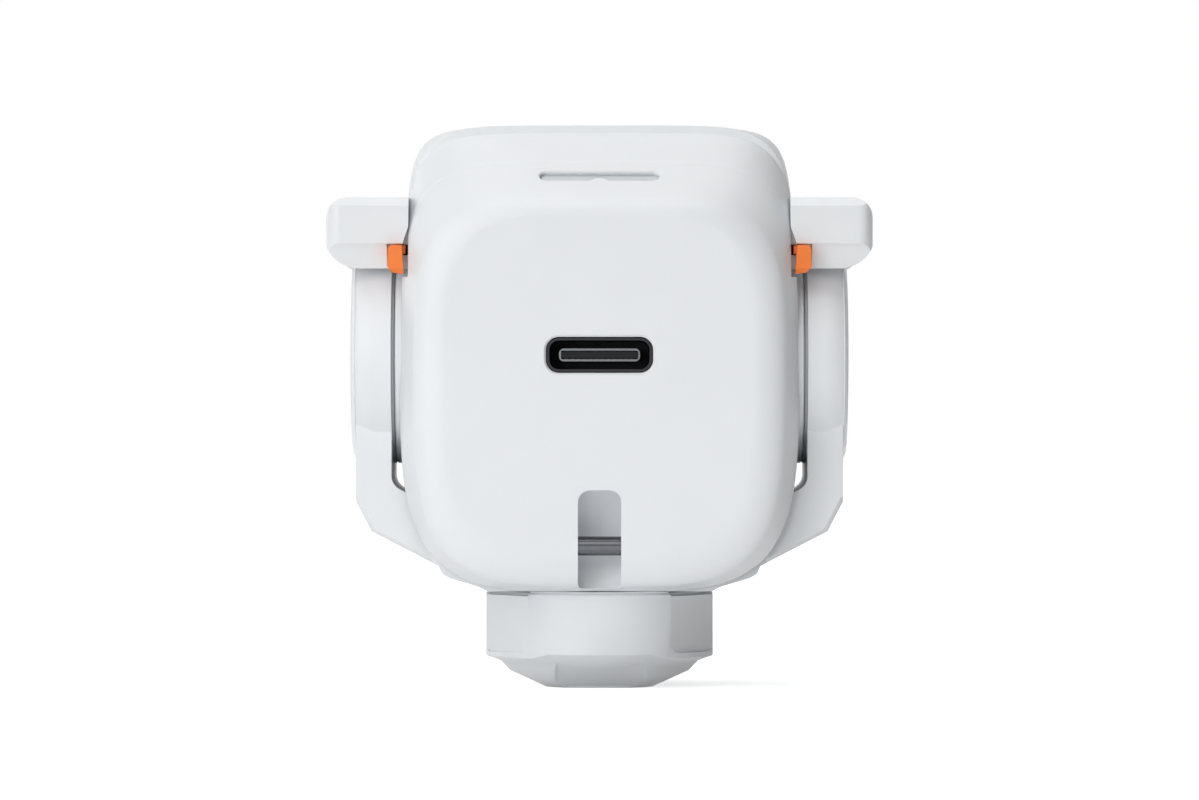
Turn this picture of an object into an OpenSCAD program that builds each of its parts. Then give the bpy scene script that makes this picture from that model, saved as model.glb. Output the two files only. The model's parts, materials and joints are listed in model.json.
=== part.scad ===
// A small USB-C power module that tilts in a U-shaped yoke, on a swivel knob with three flats.
// Millimetres. +Z is up, X runs across, and the USB face looks along -Y.
// The origin is the centre of the foot, on the surface that the part stands on.

/* [Knob] */
// Radius of the grip on its round parts
knob_r = 9.65; // [9.4:0.05:10.1]
// Height of the grip above the cone
grip_h = 5.1; // [4.7:0.1:6.5]
// Height of the cone under the grip
cone_h = 3; // [2.8:0.1:3.6]
// Radius of the foot at the bottom of the cone
foot_r = 4.6; // [4.4:0.1:5]
// Depth of each grip flat below the round
flat_depth = 0.66; // [0.4:0.02:0.8]
// Height of the relief above each flat
relief_h = 0.27; // [0.1:0.01:0.35]
// Thickness of the disc that closes the foot
foot_disc_t = 0.5; // [0.4:0.05:0.7]

/* [Swivel] */
// Radius of the spindle
spindle_r = 2; // [1.6:0.05:2.2]
// Wall of the bush in the hub
bush_wall = 1; // [0.8:0.05:1.3]
// Thickness of the washer between knob and hub
washer_t = 0.42; // [0.38:0.01:0.6]
// Gap between knob and hub
swivel_gap = 0.15; // [0.12:0.01:0.2]
// Thickness of the spindle's head
spindle_head_t = 0.8; // [0.6:0.05:0.85]

/* [Yoke] */
// Thickness of the yoke's floor
floor_t = 3.15; // [3.05:0.05:4]
// Half width of the flat part of the floor
floor_half_w = 6.3; // [5.8:0.1:6.8]
// Slope of the yoke between floor and arms, in degrees
shoulder_angle = 27.3; // [26.5:0.1:28]
// Thickness of each arm
arm_t = 3; // [2.9:0.05:3.6]
// Depth of the yoke from front to back
stem_d = 14; // [13:0.1:14.4]
// Radius of the round end of each arm
arm_r = 9.5; // [9.3:0.05:9.7]
// Height of the corner chamfer above the hub's underside
corner_h = 7.5; // [7.2:0.1:8.4]
// Thickness of the round cap on each arm
cap_t = 0.4; // [0.3:0.05:0.7]
// Radius of the round cap on each arm
cap_r = 9.1; // [8.8:0.05:9.2]
// Edge chamfer along the outside of the yoke
yoke_edge = 0.35; // [0.2:0.05:0.5]

/* [Pivots] */
// Radius of each pivot pin
pin_r = 2.5; // [2:0.05:2.8]
// Radius of each pivot disc on the head
disc_r = 8.07; // [7.9:0.01:8.2]
// Thickness of each pivot disc
disc_t = 1.15; // [1:0.05:1.3]
// Thickness of each friction washer
friction_t = 0.24; // [0.18:0.01:0.26]
// Gap between pivot disc and arm
side_gap = 0.3; // [0.28:0.01:0.4]

/* [Head] */
// Width of the head
head_w = 33.4; // [33:0.1:34]
// Depth of the head
head_d = 26; // [25.6:0.1:28]
// Distance of the tilt axis behind the face
axis_d = 13; // [12.9:0.05:13.6]
// Height of the head above the tilt axis
head_up = 19.45; // [19.3:0.05:20.4]
// Height of the step along the head's upper edge
step_h = 0.6; // [0.4:0.05:0.7]
// Height of the flat face above the tilt axis
face_up = 11.6; // [11.3:0.1:11.9]
// Radius of the round belly over the yoke's floor
belly_r = 16.25; // [16.1:0.05:16.8]
// Gap between belly and yoke
belly_gap = 0.4; // [0.3:0.05:0.5]
// Wall of the housing
wall = 1.6; // [1.4:0.05:1.7]
// Depth of the soft edge around the face
edge_len = 3.6; // [3.2:0.1:3.8]
// Width of the soft edge at the sides of the face
edge_side = 2.75; // [2.3:0.05:3]
// Height of the soft edge at the bottom of the face
edge_low = 2.9; // [2.5:0.1:3.2]
// Rise of the slope for each millimetre of depth
slope = 0.77; // [0.74:0.01:0.82]
// Radius of the front edges
front_r = 5; // [4.8:0.1:5.3]
// Depth of the front cover
lid_t = 2; // [1.8:0.1:2.1]

/* [USB socket] */
// Width of the socket's shell
usb_w = 8.82; // [8.6:0.02:9]
// Height of the socket's shell
usb_h = 2.9; // [2.8:0.02:3.2]
// Radius of the shell's corners
usb_round = 1.05; // [0.9:0.05:1.3]
// Wall of the socket's shell
usb_wall = 0.26; // [0.16:0.02:0.28]
// Width of the tongue
tongue_w = 6.36; // [6.2:0.02:6.5]
// Thickness of the tongue
tongue_t = 0.56; // [0.5:0.02:0.6]
// Wall of the collar around the tongue
collar_wall = 0.17; // [0.12:0.01:0.2]

/* [Light slot] */
// Length of the light slot
light_len = 10; // [8:0.1:11]
// Width of the light slot along the slope
light_w = 1.2; // [1:0.05:1.4]
// Distance of the light slot behind the face
light_d = 3.5; // [3.4:0.05:3.6]

/* [Lanyard slot] */
// Width of the lanyard slot
lanyard_w = 3.6; // [3:0.1:4.2]
// Height of the slot's top below the tilt axis
lanyard_top = 11.25; // [11:0.05:11.6]
// Radius of the scooped pocket
scoop_r = 5; // [4.8:0.05:5.2]
// Depth of the scooped pocket
scoop_depth = 4; // [3.8:0.05:4.2]
// Radius of the lanyard pin
lanyard_pin_r = 0.8; // [0.6:0.05:0.95]
// Height of the lanyard pin below the tilt axis
lanyard_pin_down = 15.9; // [15.5:0.05:16.2]

/* [Ears] */
// Length of each ear beyond the head's side
ear_len = 6.2; // [5.8:0.1:7]
// Depth of each ear from front to back
ear_d = 18; // [17.8:0.1:18.6]
// Height of each ear
ear_h = 5.95; // [5.8:0.05:6.4]
// Height of the ear's underside above the tilt axis
ear_low = 7.28; // [7.2:0.02:7.4]
// Travel of each release button
button_travel = 0.5; // [0.3:0.05:0.55]
// Radius of the ear screws
ear_screw_r = 0.6; // [0.5:0.02:0.7]

/* [Electronics] */
// Thickness of the circuit boards
board_t = 1; // [0.8:0.05:1.1]
// Width of the transformer core
core_w = 13; // [12:0.1:13.6]
// Height of the transformer core
core_h = 11; // [10:0.1:11.4]
// Radius of the capacitors
can_r = 2.6; // [2.3:0.05:2.65]
// Thickness of the heat spreader
spreader_t = 1; // [0.8:0.05:1]
// Thickness of the thermal pad
pad_t = 0.4; // [0.3:0.05:0.6]
// Radius of the case screws
case_screw_r = 0.6; // [0.5:0.02:0.65]

/* [Hidden] */

$fn = 96;
fit = 0.02;             // clearance of a fixed piece in its seat
run = 0.04;             // radial clearance of a turning fit
slide = 0.1;            // clearance around a sliding button
thin_gap = 0.05;        // gap between two faces that lie together
seat_gap = 0.1;         // gap between two pieces inside the head
eps = 0.5;              // how far a cut runs past the face that it opens
big = 60;               // larger than any part of the module

// Heights up the stack from the surface to the tilt axis.
knob_top_z = cone_h + grip_h;
hub_z = knob_top_z + swivel_gap;
floor_z = hub_z + floor_t;
pivot_z = floor_z + belly_gap + belly_r;

// Places across the width, from the head's side outwards.
seat_depth = 0.7;       // depth of the flat seat in the head's side
seat_x = head_w / 2 - seat_depth;
disc_x = seat_x + disc_t;
arm_in_x = disc_x + side_gap;
arm_out_x = arm_in_x + arm_t;
cap_x = arm_out_x + cap_t;
wall_x = head_w / 2 - wall;

// Places along the depth, from the USB face to the front.
face_y = -axis_d;
hub_d = stem_d + 1.2;   // depth of the hub block
chin_gap = 0.4;         // gap between the hub and the head's chin
seam_y = -hub_d / 2 - chin_gap;
seam_d = seam_y - face_y;
lid_y = head_d - axis_d - lid_t;

tan_s = tan(shoulder_angle);

// ---------------------------------------------------------------- head outline

ring_n = 64;            // points around the head
face_power = 3.8;       // roundness of the face's upper corners
low_power = 4.05;       // roundness of the lower corners
top_power = 9;          // roundness of the upper corners past the slope
lip_rise = 0.7;         // height of the soft edge over the face
lip_len = 1.5;          // depth of the soft edge over the face
crown = 0.15;           // softness of the edge between slope and top
square_run = 14.5;      // depth over which the upper corners square up
square_power = 1.4;     // how late they do so
side_taper = 0.034;     // narrowing of the sides towards the top
taper_power = 1.32;     // how much of it lies near the top
step_run = 0.12;        // depth of the step along the upper edge
step_d = (head_up - step_h - face_up - lip_rise) / slope;
head_down = pivot_z - hub_z;

function clamp01(t) = min(max(t, 0), 1);
function quarter(t) = sqrt(1 - pow(1 - clamp01(t), 2));
function soft_min(a, b, k) = (a + b - sqrt(pow(a - b, 2) + k * k)) / 2;

// Distances at depth d behind the face, for a shell w inside the outer surface.
function front_inset(d, w) = front_r * (1 - quarter((head_d - w - d) / front_r));
function half_width(d, w) =
    head_w / 2 - w - edge_side * (1 - quarter((d - w) / edge_len)) - front_inset(d, w);
function reach_down(d, w) =
    head_down - w - edge_low * (1 - quarter((d - w) / edge_len)) - front_inset(d, w);
function slope_line(d) = face_up + lip_rise * quarter(d / lip_len) + slope * d;
function reach_up(d, w) =
    soft_min(slope_line(max(d - w, 0)), head_up - step_h, crown)
    + step_h * clamp01((d - w - step_d) / step_run) - w - front_inset(d, w);
function up_power(d, w) =
    face_power + (top_power - face_power) * pow(clamp01((d - w) / square_run), square_power);

// Height of the upper outline at distance x from the middle.
function reach_at(x, d, w) = let (n = up_power(d, w))
    reach_up(d, w) * pow(1 - pow(x / half_width(d, w) / (1 - side_taper), n), 1 / n);

function power_of(v, n) = sign(v) * pow(abs(v), 2 / n);
function ring(d, w) = [
    for (i = [0:ring_n - 1])
        let (a = 360 * i / ring_n, n = sin(a) >= 0 ? up_power(d, w) : low_power)
        let (reach = sin(a) >= 0 ? reach_up(d, w) : reach_down(d, w))
        let (up = reach * power_of(sin(a), n))
        let (taper = 1 - side_taper * pow(max(up, 0) / head_up, taper_power))
        [half_width(d, w) * power_of(cos(a), n) * taper, d + face_y, pivot_z + up]
];

// Depths at which the outline is drawn.
step_min = 0.2;         // least distance between two of them
function near_depths(w, end) = concat(
    [for (a = [0:15:90]) let (d = w + edge_len * (1 - cos(a))) if (d < end - step_min) d], [end]);
function far_depths(w, start, end) = concat(
    [for (k = [0:4]) start + (step_d + w - start) * k / 4],
    [for (k = [0:3]) step_d + w + step_run + (square_run - step_d - step_run) * k / 3],
    [for (a = [90:-18:18]) let (d = head_d - w - front_r * (1 - cos(a)))
        if (d > square_run + w + step_min && d < end - step_min) d],
    [end]);
function lid_depths(w) = [for (a = [0:18:90]) head_d - lid_t + (lid_t - w) * sin(a)];

module loft(depths, w) {
    count = len(depths);
    points = [for (d = depths) for (p = ring(d, w)) p];
    sides = [for (k = [0:count - 2]) for (i = [0:ring_n - 1])
        let (j = (i + 1) % ring_n, a = k * ring_n, b = a + ring_n)
        each [[a + i, a + j, b + j], [a + i, b + j, b + i]]];
    near_cap = [for (i = [ring_n - 1:-1:0]) i];
    far_cap = [for (i = [0:ring_n - 1]) (count - 1) * ring_n + i];
    polyhedron(points = points, faces = concat([near_cap], sides, [far_cap]));
}

// ---------------------------------------------------------------- small helpers

// Lays a cylinder along X from x0 to x1, centred on the tilt axis unless moved.
module along_x(x0, x1, r) {
    translate([x0, 0, 0]) rotate([0, 90, 0]) cylinder(h = x1 - x0, r = r);
}
module along_y(y0, y1, r) {
    translate([0, y0, 0]) rotate([-90, 0, 0]) cylinder(h = y1 - y0, r = r);
}
module at_pivot() {
    translate([0, 0, pivot_z]) children();
}
module block(x, y, z) {
    translate([x[0], y[0], z[0]]) cube([x[1] - x[0], y[1] - y[0], z[1] - z[0]]);
}
// Extrudes an outline drawn in X and Z from y0 to y1.
module extrude_y(y0, y1) {
    translate([0, y1, 0]) rotate([90, 0, 0]) linear_extrude(height = y1 - y0) children();
}
// Extrudes an outline drawn in Y and Z from x0 to x1.
module extrude_x(x0, x1) {
    translate([x0, 0, 0]) rotate([90, 0, 90]) linear_extrude(height = x1 - x0) children();
}
module slot_shape(len, width) {
    square([len - width, width], center = true);
    for (s = [-1, 1]) translate([s * (len - width) / 2, 0]) circle(d = width);
}
// Rounds an upper and a lower corner of a plate that starts at x0 and ends at x1.
module round_end(x0, x1, y0, y1, low_r, high_r) {
    translate([x0, y0]) square([x1 - x0 - low_r, y1 - y0 - high_r]);
    translate([x0, y0 + low_r]) square([x1 - x0, y1 - y0 - low_r - high_r]);
    translate([x0, y0 + low_r]) square([x1 - x0 - high_r, y1 - y0 - low_r]);
    translate([x1 - low_r, y0 + low_r]) circle(r = low_r);
    translate([x1 - high_r, y1 - high_r]) circle(r = high_r);
}
module rounded(width, height, r) {
    square([width - 2 * r, height], center = true);
    square([width, height - 2 * r], center = true);
    for (x = [-1, 1]) for (z = [-1, 1])
        translate([x * (width / 2 - r), z * (height / 2 - r)]) circle(r = r);
}
module left() {
    mirror([1, 0, 0]) children();
}
module both() {
    children();
    left() children();
}

// ---------------------------------------------------------------- knob and swivel

flat_turn = 60;         // turn of the first grip flat from the USB side
flat_lip = 0.04;        // width left beside and under each flat
flat_half_w = sqrt(pow(knob_r, 2) - pow(knob_r - flat_depth, 2)) + flat_lip;
flat_round = 0.9;       // radius of a flat's lower corners
relief_in = 1.4;        // depth of the relief above each flat
rim_h = 0.37;           // height by which the rim under the flats hangs down
facet_tilt = 30.6;      // slope of the cone's facets, in degrees
facet_in = 1.9;         // distance of a facet's upper edge inside the grip
facet_z = 0.8 * cone_h; // height of that edge
facet_half_w = 3.7;     // half width of a facet
facet_len = 4.36;       // length of a facet along its slope
facet_top_round = 0.7;  // radius of a facet's upper corners
facet_low_round = 1.3;  // radius of a facet's lower corners
sector_half_w = 4.25;   // half width of the thinned rim over a facet, at its upper edge
sector_slope = 3.5;     // how much wider it gets for each millimetre further down
foot_hole_r = 3;        // radius of the hole that the foot disc closes
foot_screw_h = 0.7;     // height of the spindle screw's head
foot_screw_r = 0.8;     // radius of the spindle screw's thread
foot_screw_len = 4.6;   // length of the spindle screw
spindle_z = foot_disc_t + foot_screw_h;
spindle_head_r = 3.6;   // radius of the spindle's head
head_sink = 0.2;        // depth of the spindle's head below the yoke's floor
spindle_top_z = floor_z - head_sink;
washer_in_r = spindle_r + bush_wall + seat_gap;
washer_out_r = 6.5;     // radius of the washer between knob and hub
washer_seat_z = hub_z - washer_t - run;

cone_low_r = knob_r - 2.05;
cone_mid_r = knob_r - 1.25;
cone_low_z = 0.45 * cone_h;
cone_mid_z = 0.73 * cone_h;
knob_edge = 0.15;       // chamfer of the grip's upper edge
thin_in = [0.05, 0.09]; // how far the thinned rim stays outside the cone's bend
module knob_outline() {
    polygon([
        [0, 0], [foot_r, 0], [cone_low_r, cone_low_z], [cone_mid_r, cone_mid_z],
        [knob_r, cone_h - rim_h], [knob_r, knob_top_z - knob_edge],
        [knob_r - knob_edge, knob_top_z], [0, knob_top_z]
    ]);
}
// One grip flat, on the USB side, with rounded lower corners and a relief above it.
module grip_flat() {
    extrude_y(-big, flat_depth - knob_r) {
        translate([-flat_half_w, cone_h + flat_round]) square([2 * flat_half_w, big]);
        translate([flat_round - flat_half_w, cone_h + flat_lip])
            square([2 * (flat_half_w - flat_round), 2 * flat_round]);
        for (s = [-1, 1]) translate([s * (flat_half_w - flat_round), cone_h + flat_lip + flat_round])
            circle(r = flat_round);
    }
    block([-flat_half_w, flat_half_w], [-big, relief_in - knob_r], [knob_top_z - relief_h, big]);
}
// Thins the rim over one facet, on the USB side, and cuts the facet into the cone.
module cone_facet() {
    intersection() {
        rotate_extrude() polygon([
            [cone_mid_r + thin_in[0], cone_mid_z - thin_in[1]], [knob_r + 0.01, cone_h], [big, cone_h],
            [big, 0], [cone_mid_r + thin_in[0], 0]
        ]);
        extrude_y(-big, 0) {
            high = sector_half_w - sector_slope * eps;
            low = sector_half_w + sector_slope * cone_h;
            polygon([[-high, cone_h + eps], [high, cone_h + eps], [low, 0], [-low, 0]]);
        }
    }
    translate([0, facet_in - knob_r, facet_z]) rotate([-facet_tilt, 0, 0]) mirror([0, 0, 1])
        linear_extrude(height = facet_len) facet_shape();
}
// Outline of a facet in its own plane, from its upper edge towards the foot.
module facet_shape() {
    w = facet_half_w;
    a = facet_top_round;
    b = facet_low_round;
    translate([-w, a]) square([2 * w, facet_len - a - b]);
    translate([a - w, 0]) square([2 * (w - a), facet_len / 2]);
    translate([b - w, facet_len / 2]) square([2 * (w - b), facet_len / 2]);
    for (s = [-1, 1]) {
        translate([s * (w - a), a]) circle(r = a);
        translate([s * (w - b), facet_len - b]) circle(r = b);
    }
}
module knob() color("whitesmoke") difference() {
    rotate_extrude() knob_outline();
    for (k = [0:2]) rotate([0, 0, flat_turn + 120 * k]) grip_flat();
    for (k = [0:2]) rotate([0, 0, 120 * k]) cone_facet();
    translate([0, 0, spindle_z]) cylinder(h = big, r = spindle_r + fit);
    translate([0, 0, -eps]) cylinder(h = spindle_z + eps, r = foot_hole_r);
    translate([0, 0, washer_seat_z]) cylinder(h = big, r = washer_out_r + fit);
}
module foot_disc() color("gainsboro") cylinder(h = foot_disc_t, r = foot_hole_r - fit);
module spindle() color("silver") difference() {
    union() {
        translate([0, 0, spindle_z]) cylinder(h = spindle_top_z - spindle_z, r = spindle_r);
        translate([0, 0, spindle_top_z - spindle_head_t]) cylinder(h = spindle_head_t, r = spindle_head_r);
    }
    translate([0, 0, spindle_z - eps]) cylinder(h = foot_screw_len + eps, r = foot_screw_r + fit);
}
module spindle_screw() color("dimgray") difference() {
    union() {
        translate([0, 0, foot_disc_t + thin_gap])
            cylinder(h = foot_screw_h - thin_gap, r = foot_hole_r - foot_screw_r / 2);
        translate([0, 0, foot_disc_t + thin_gap]) cylinder(h = foot_screw_len, r = foot_screw_r);
    }
    translate([0, 0, foot_disc_t]) cylinder(h = foot_screw_h / 2, r = foot_screw_r, $fn = 6);
}
module swivel_washer() color("dimgray") translate([0, 0, washer_seat_z]) difference() {
    cylinder(h = washer_t, r = washer_out_r);
    translate([0, 0, -eps]) cylinder(h = big, r = washer_in_r);
}

// ---------------------------------------------------------------- yoke

hub_half_w = 14;        // half width of the hub block
corner_cut = 1.3;       // width of the corner chamfer
shoulder_in = 0.2;      // how far inside the grip's radius the shoulder starts
inner_round = 1.2;      // radius where arm and shoulder meet
band_t = 1.45;          // straight part of each arm's round end
arm_draft = 0.4;        // taper of the rest of the round end
pin_head_r = 4.2;       // radius of a pivot pin's head
pin_head_t = 1;         // thickness of a pivot pin's head
// Underside of the hub past the shoulder, as [distance inside its half width, height].
hub_line = [[3.7, 0.42], [1.4, 1.1], [0.8, 1.45], [0.55, 2]];

// Outer line of the shoulder, from the corner chamfer down to the hub.
shoulder_out_x = arm_out_x - corner_cut;
function shoulder_line(x) = hub_z + (x - knob_r + shoulder_in) * tan_s;
shoulder_out_z = shoulder_line(shoulder_out_x);
edge_start_x = hub_half_w + yoke_edge;
function floor_line(x) = floor_z + max(0, x - floor_half_w) * tan_s;
bush_top_z = spindle_top_z - spindle_head_t - thin_gap;
head_room = 0.3;        // gap around the spindle's head
round_cx = arm_in_x - inner_round;
round_cz = floor_line(round_cx) + inner_round / cos(shoulder_angle);

yoke_half = concat(
    [[0, hub_z], [knob_r - shoulder_in, hub_z], [shoulder_out_x, shoulder_out_z],
        [arm_out_x, hub_z + corner_h], [arm_out_x, pivot_z], [arm_in_x, pivot_z]],
    [for (a = [0:-12:shoulder_angle - 90])
        [round_cx + inner_round * cos(a), round_cz + inner_round * sin(a)]],
    [[floor_half_w, floor_z], [0, floor_z]]);
hub_half = concat(
    [[0, hub_z], [knob_r - 2 * shoulder_in, hub_z]],
    [for (p = hub_line) [hub_half_w - p[0], hub_z + p[1]]],
    [[hub_half_w, floor_z], [0, floor_z]]);

// Cuts an edge of width w between two points of the outline, on both faces.
module edge_cut(p, q, w) {
    length = norm(q - p);
    turn = atan2(q[1] - p[1], q[0] - p[0]);
    for (s = [0, 1]) mirror([0, s, 0])
        translate([p[0], stem_d / 2, p[1]]) rotate([0, -turn, 0]) rotate([45, 0, 0])
            translate([-w, -2 * w, -2 * w]) cube([length + 2 * w, 4 * w, (2 + 1 / sqrt(2)) * w]);
}
module arm_end() at_pivot() {
    along_x(arm_in_x, arm_in_x + band_t, arm_r);
    translate([arm_in_x + band_t, 0, 0]) rotate([0, 90, 0])
        cylinder(h = arm_t - band_t, r1 = arm_r, r2 = arm_r - arm_draft);
}
module yoke() color("whitesmoke") difference() {
    union() {
        both() extrude_y(-stem_d / 2, stem_d / 2) polygon(yoke_half);
        both() extrude_y(-hub_d / 2, hub_d / 2) polygon(hub_half);
        both() arm_end();
    }
    both() edge_cut([edge_start_x, shoulder_line(edge_start_x)], [shoulder_out_x, shoulder_out_z],
        0.9 * yoke_edge);
    both() edge_cut([shoulder_out_x, shoulder_out_z], [arm_out_x, hub_z + corner_h], yoke_edge);
    both() at_pivot() along_x(0, big, pin_r + fit);
    both() at_pivot() along_x(arm_out_x - pin_head_t, big, pin_head_r + fit);
    translate([0, 0, hub_z - eps]) cylinder(h = big, r = spindle_r + bush_wall + fit);
    translate([0, 0, bush_top_z]) cylinder(h = big, r = spindle_head_r + head_room);
}
module hub_bush() color("goldenrod") difference() {
    translate([0, 0, hub_z]) cylinder(h = bush_top_z - hub_z, r = spindle_r + bush_wall);
    translate([0, 0, hub_z - eps]) cylinder(h = big, r = spindle_r + run);
}
cap_rim = 0.1;          // straight edge of an arm cap
cap_slope = 0.7;        // width of an arm cap's sloping edge
module arm_cap() at_pivot() difference() {
    union() {
        along_x(arm_out_x, arm_out_x + cap_rim, cap_r);
        translate([arm_out_x + cap_rim, 0, 0]) rotate([0, 90, 0])
            cylinder(h = cap_t - cap_rim, r1 = cap_r, r2 = cap_r - cap_slope);
    }
    along_x(arm_out_x - eps, arm_out_x + thin_gap, pin_head_r);
}
module arm_cap_left() color("whitesmoke") left() arm_cap();
module arm_cap_right() color("whitesmoke") arm_cap();
pin_end_x = wall_x - 1.2;
module pivot_pin() at_pivot() {
    along_x(pin_end_x, arm_out_x, pin_r);
    along_x(arm_out_x - pin_head_t, arm_out_x, pin_head_r);
}
module pivot_pin_left() color("silver") left() pivot_pin();
module pivot_pin_right() color("silver") pivot_pin();
module friction_washer() at_pivot() difference() {
    along_x(arm_in_x - friction_t, arm_in_x, cap_r);
    along_x(0, big, pin_r + run);
}
module friction_washer_left() color("dimgray") left() friction_washer();
module friction_washer_right() color("dimgray") friction_washer();

// ---------------------------------------------------------------- head shells

spigot_r = 5;           // radius of the spigot behind each pivot disc
seat_r = 11;            // radius of the round seats
ear_top = pivot_z + ear_low + ear_h;
ear_screw_y = 4.5;      // distance of the ear screws from the middle of the ear
ear_screw_z = ear_top - 1.7;
screw_head_r = 1.2;     // radius of the small screws' heads
screw_head_t = 0.8;     // thickness of the small screws' heads
case_x = 11.2;          // distance of the case screws from the middle
case_drop = 7.15;       // distance of the lower case screws below the tilt axis
case_rise = 7.95;       // distance of the upper case screws above it
case_z_low = pivot_z - case_drop;
case_z_high = pivot_z + case_rise;
post_r = 1.3;           // radius of the screw posts
post_floor = 1;         // depth of a screw post that stays solid
post_in_y = face_y + wall;
board_y = seam_y + 2;
back_y = board_y + board_t;

// Turned form over the yoke's floor, w inside its surface.
module barrel(w) {
    half = head_w / 2 + seat_gap;
    side_r = belly_r - (half - floor_half_w) * tan_s;
    at_pivot() rotate([0, 90, 0]) rotate_extrude() polygon([
        [0, -half], [side_r - w, -half], [belly_r - w, -floor_half_w],
        [belly_r - w, floor_half_w], [side_r - w, half], [0, half]
    ]);
}
// Everything below the tilt axis and behind the seam that lies outside the barrel.
module belly_cut(w) difference() {
    block([-big, big], [seam_y - chin_gap, big], [-big, pivot_z]);
    barrel(w);
}
// Flat seats for the pivot discs and ears.
module side_seats() both() {
    at_pivot() along_x(seat_x, big, seat_r);
    block([seat_x, big], [-ear_d / 2 - thin_gap, ear_d / 2 + thin_gap],
        [pivot_z + ear_low - thin_gap, ear_top + thin_gap]);
    block([seat_x, big], [-ear_d / 2 - button_proud - button_room, 0],
        [button_z[0] - button_room, wedge_z]);
}
module case_points() {
    for (x = [-case_x, case_x]) for (z = [case_z_low, case_z_high]) translate([x, 0, z]) children();
}
slope_angle = atan(slope);
module on_slope() {
    translate([0, face_y + light_d, pivot_z + slope_line(light_d)]) rotate([slope_angle, 0, 0]) children();
}
// Column of the light slot, larger by gap all round, from z0 to z1 along the slope's normal.
nub_r = 1.05;           // radius of the nub in the slot's lower edge
nub_in = 0.7;           // distance of the nub's centre below that edge
module light_column(gap, z0, z1) on_slope() translate([0, 0, z0]) linear_extrude(height = z1 - z0)
    difference() {
        slot_shape(light_len + 2 * gap, light_w + 2 * gap);
        translate([0, -light_w / 2 - nub_in]) circle(r = nub_r - gap);
    }
guide_len = 2.6;        // depth of the light guide's flange
guide_sink = 0.35;      // depth of the light guide's end below the surface
guide_flange_t = 0.5;   // thickness of that flange
usb_sink = 0.3;         // depth of the socket's shell behind the face
usb_y = face_y + usb_sink;
// Outline of the socket's shell, w outside it all round.
module usb_outline(w) rounded(usb_w + 2 * w, usb_h + 2 * w, usb_round + w);
pocket_top_round = 1;   // radius of the pocket's upper corners
pocket_low_round = 0.5; // radius of its lower corners
pocket_low = 0.3;       // height of the pocket above the chin's underside
module lanyard_pocket() {
    top = pivot_z - lanyard_top;
    low = hub_z + pocket_low;
    intersection() {
        extrude_y(face_y - eps, 0)
            both() round_end(-lanyard_w / 4, lanyard_w / 2, low, top, pocket_low_round, pocket_top_round);
        translate([0, face_y + scoop_depth - scoop_r, (top + low) / 2]) along_x(-big, big, scoop_r);
    }
}
lanyard_pin_sink = 1.5; // depth of the lanyard pin's middle behind the face
lanyard_pin_y = face_y + lanyard_pin_sink;
lanyard_pin_in = 0.95;  // length of the lanyard pin in each side of the pocket
lanyard_hole_x = lanyard_w / 2 + lanyard_pin_in + thin_gap;
module lanyard_place() translate([0, lanyard_pin_y, pivot_z - lanyard_pin_down]) children();

pocket_wall = 1.1;      // wall over the lanyard pocket
module rear_cover() color("whitesmoke") difference() {
    union() {
        difference() {
            loft(near_depths(0, seam_d), 0);
            intersection() {
                loft(near_depths(wall, seam_d + eps), wall);
                block([-big, big], [-big, big], [pivot_z - lanyard_top + pocket_wall, big]);
            }
        }
        case_points() along_y(post_in_y - seat_gap, board_y, post_r);
    }
    case_points() along_y(post_in_y + post_floor, big, case_screw_r + fit);
    side_seats();
    at_pivot() extrude_y(-big, seam_y) usb_outline(thin_gap);
    light_column(0, -big / 2, big / 2);
    lanyard_pocket();
    lanyard_place() along_x(-lanyard_hole_x, lanyard_hole_x, lanyard_pin_r + fit);
}
lug_t = 1.4;            // thickness of the lugs that the case screws hold
lug_half_w = 1.4;       // half width of a lug
lug_half_h = 1.6;       // height of a lug above and below its screw
module main_housing() color("whitesmoke") difference() {
    union() {
        difference() {
            loft(far_depths(0, seam_d, head_d - lid_t), 0);
            difference() {
                loft(far_depths(wall, seam_d - eps, head_d - lid_t + eps), wall);
                belly_cut(wall);
            }
        }
        both() block([case_x - lug_half_w, wall_x + head_room], [back_y, back_y + lug_t],
            [case_z_high - lug_half_h, case_z_high + lug_half_h]);
        both() block([case_x - lug_half_w, case_x + lug_half_w], [back_y, back_y + lug_t],
            [pivot_z - belly_r, case_z_low + lug_half_h]);
    }
    belly_cut(0);
    side_seats();
    light_column(seat_gap, -guide_len, 0);
    case_points() along_y(-big, big, case_screw_r + seat_gap);
    both() at_pivot() along_x(0, big, spigot_r + fit);
    both() for (s = [-1, 1]) translate([0, s * ear_screw_y, ear_screw_z]) {
        along_x(0, big, ear_screw_r + seat_gap);
        along_x(0, wall_x + thin_gap, screw_head_r + seat_gap);
    }
}
lip_t = 1;              // thickness of the front cover's lip
lip_h = 1;              // length of that lip
module front_cover() color("whitesmoke") difference() {
    union() {
        difference() {
            loft(lid_depths(0), 0);
            belly_cut(0);
        }
        difference() {
            loft([head_d - lid_t - lip_h, head_d - lid_t + seat_gap], wall + seat_gap);
            belly_cut(wall + seat_gap);
        }
    }
    difference() {
        loft([head_d - lid_t - lip_h - eps, head_d - lid_t], wall + seat_gap + lip_t);
        belly_cut(wall + seat_gap + lip_t);
    }
}

// ---------------------------------------------------------------- pivots on the head

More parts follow.
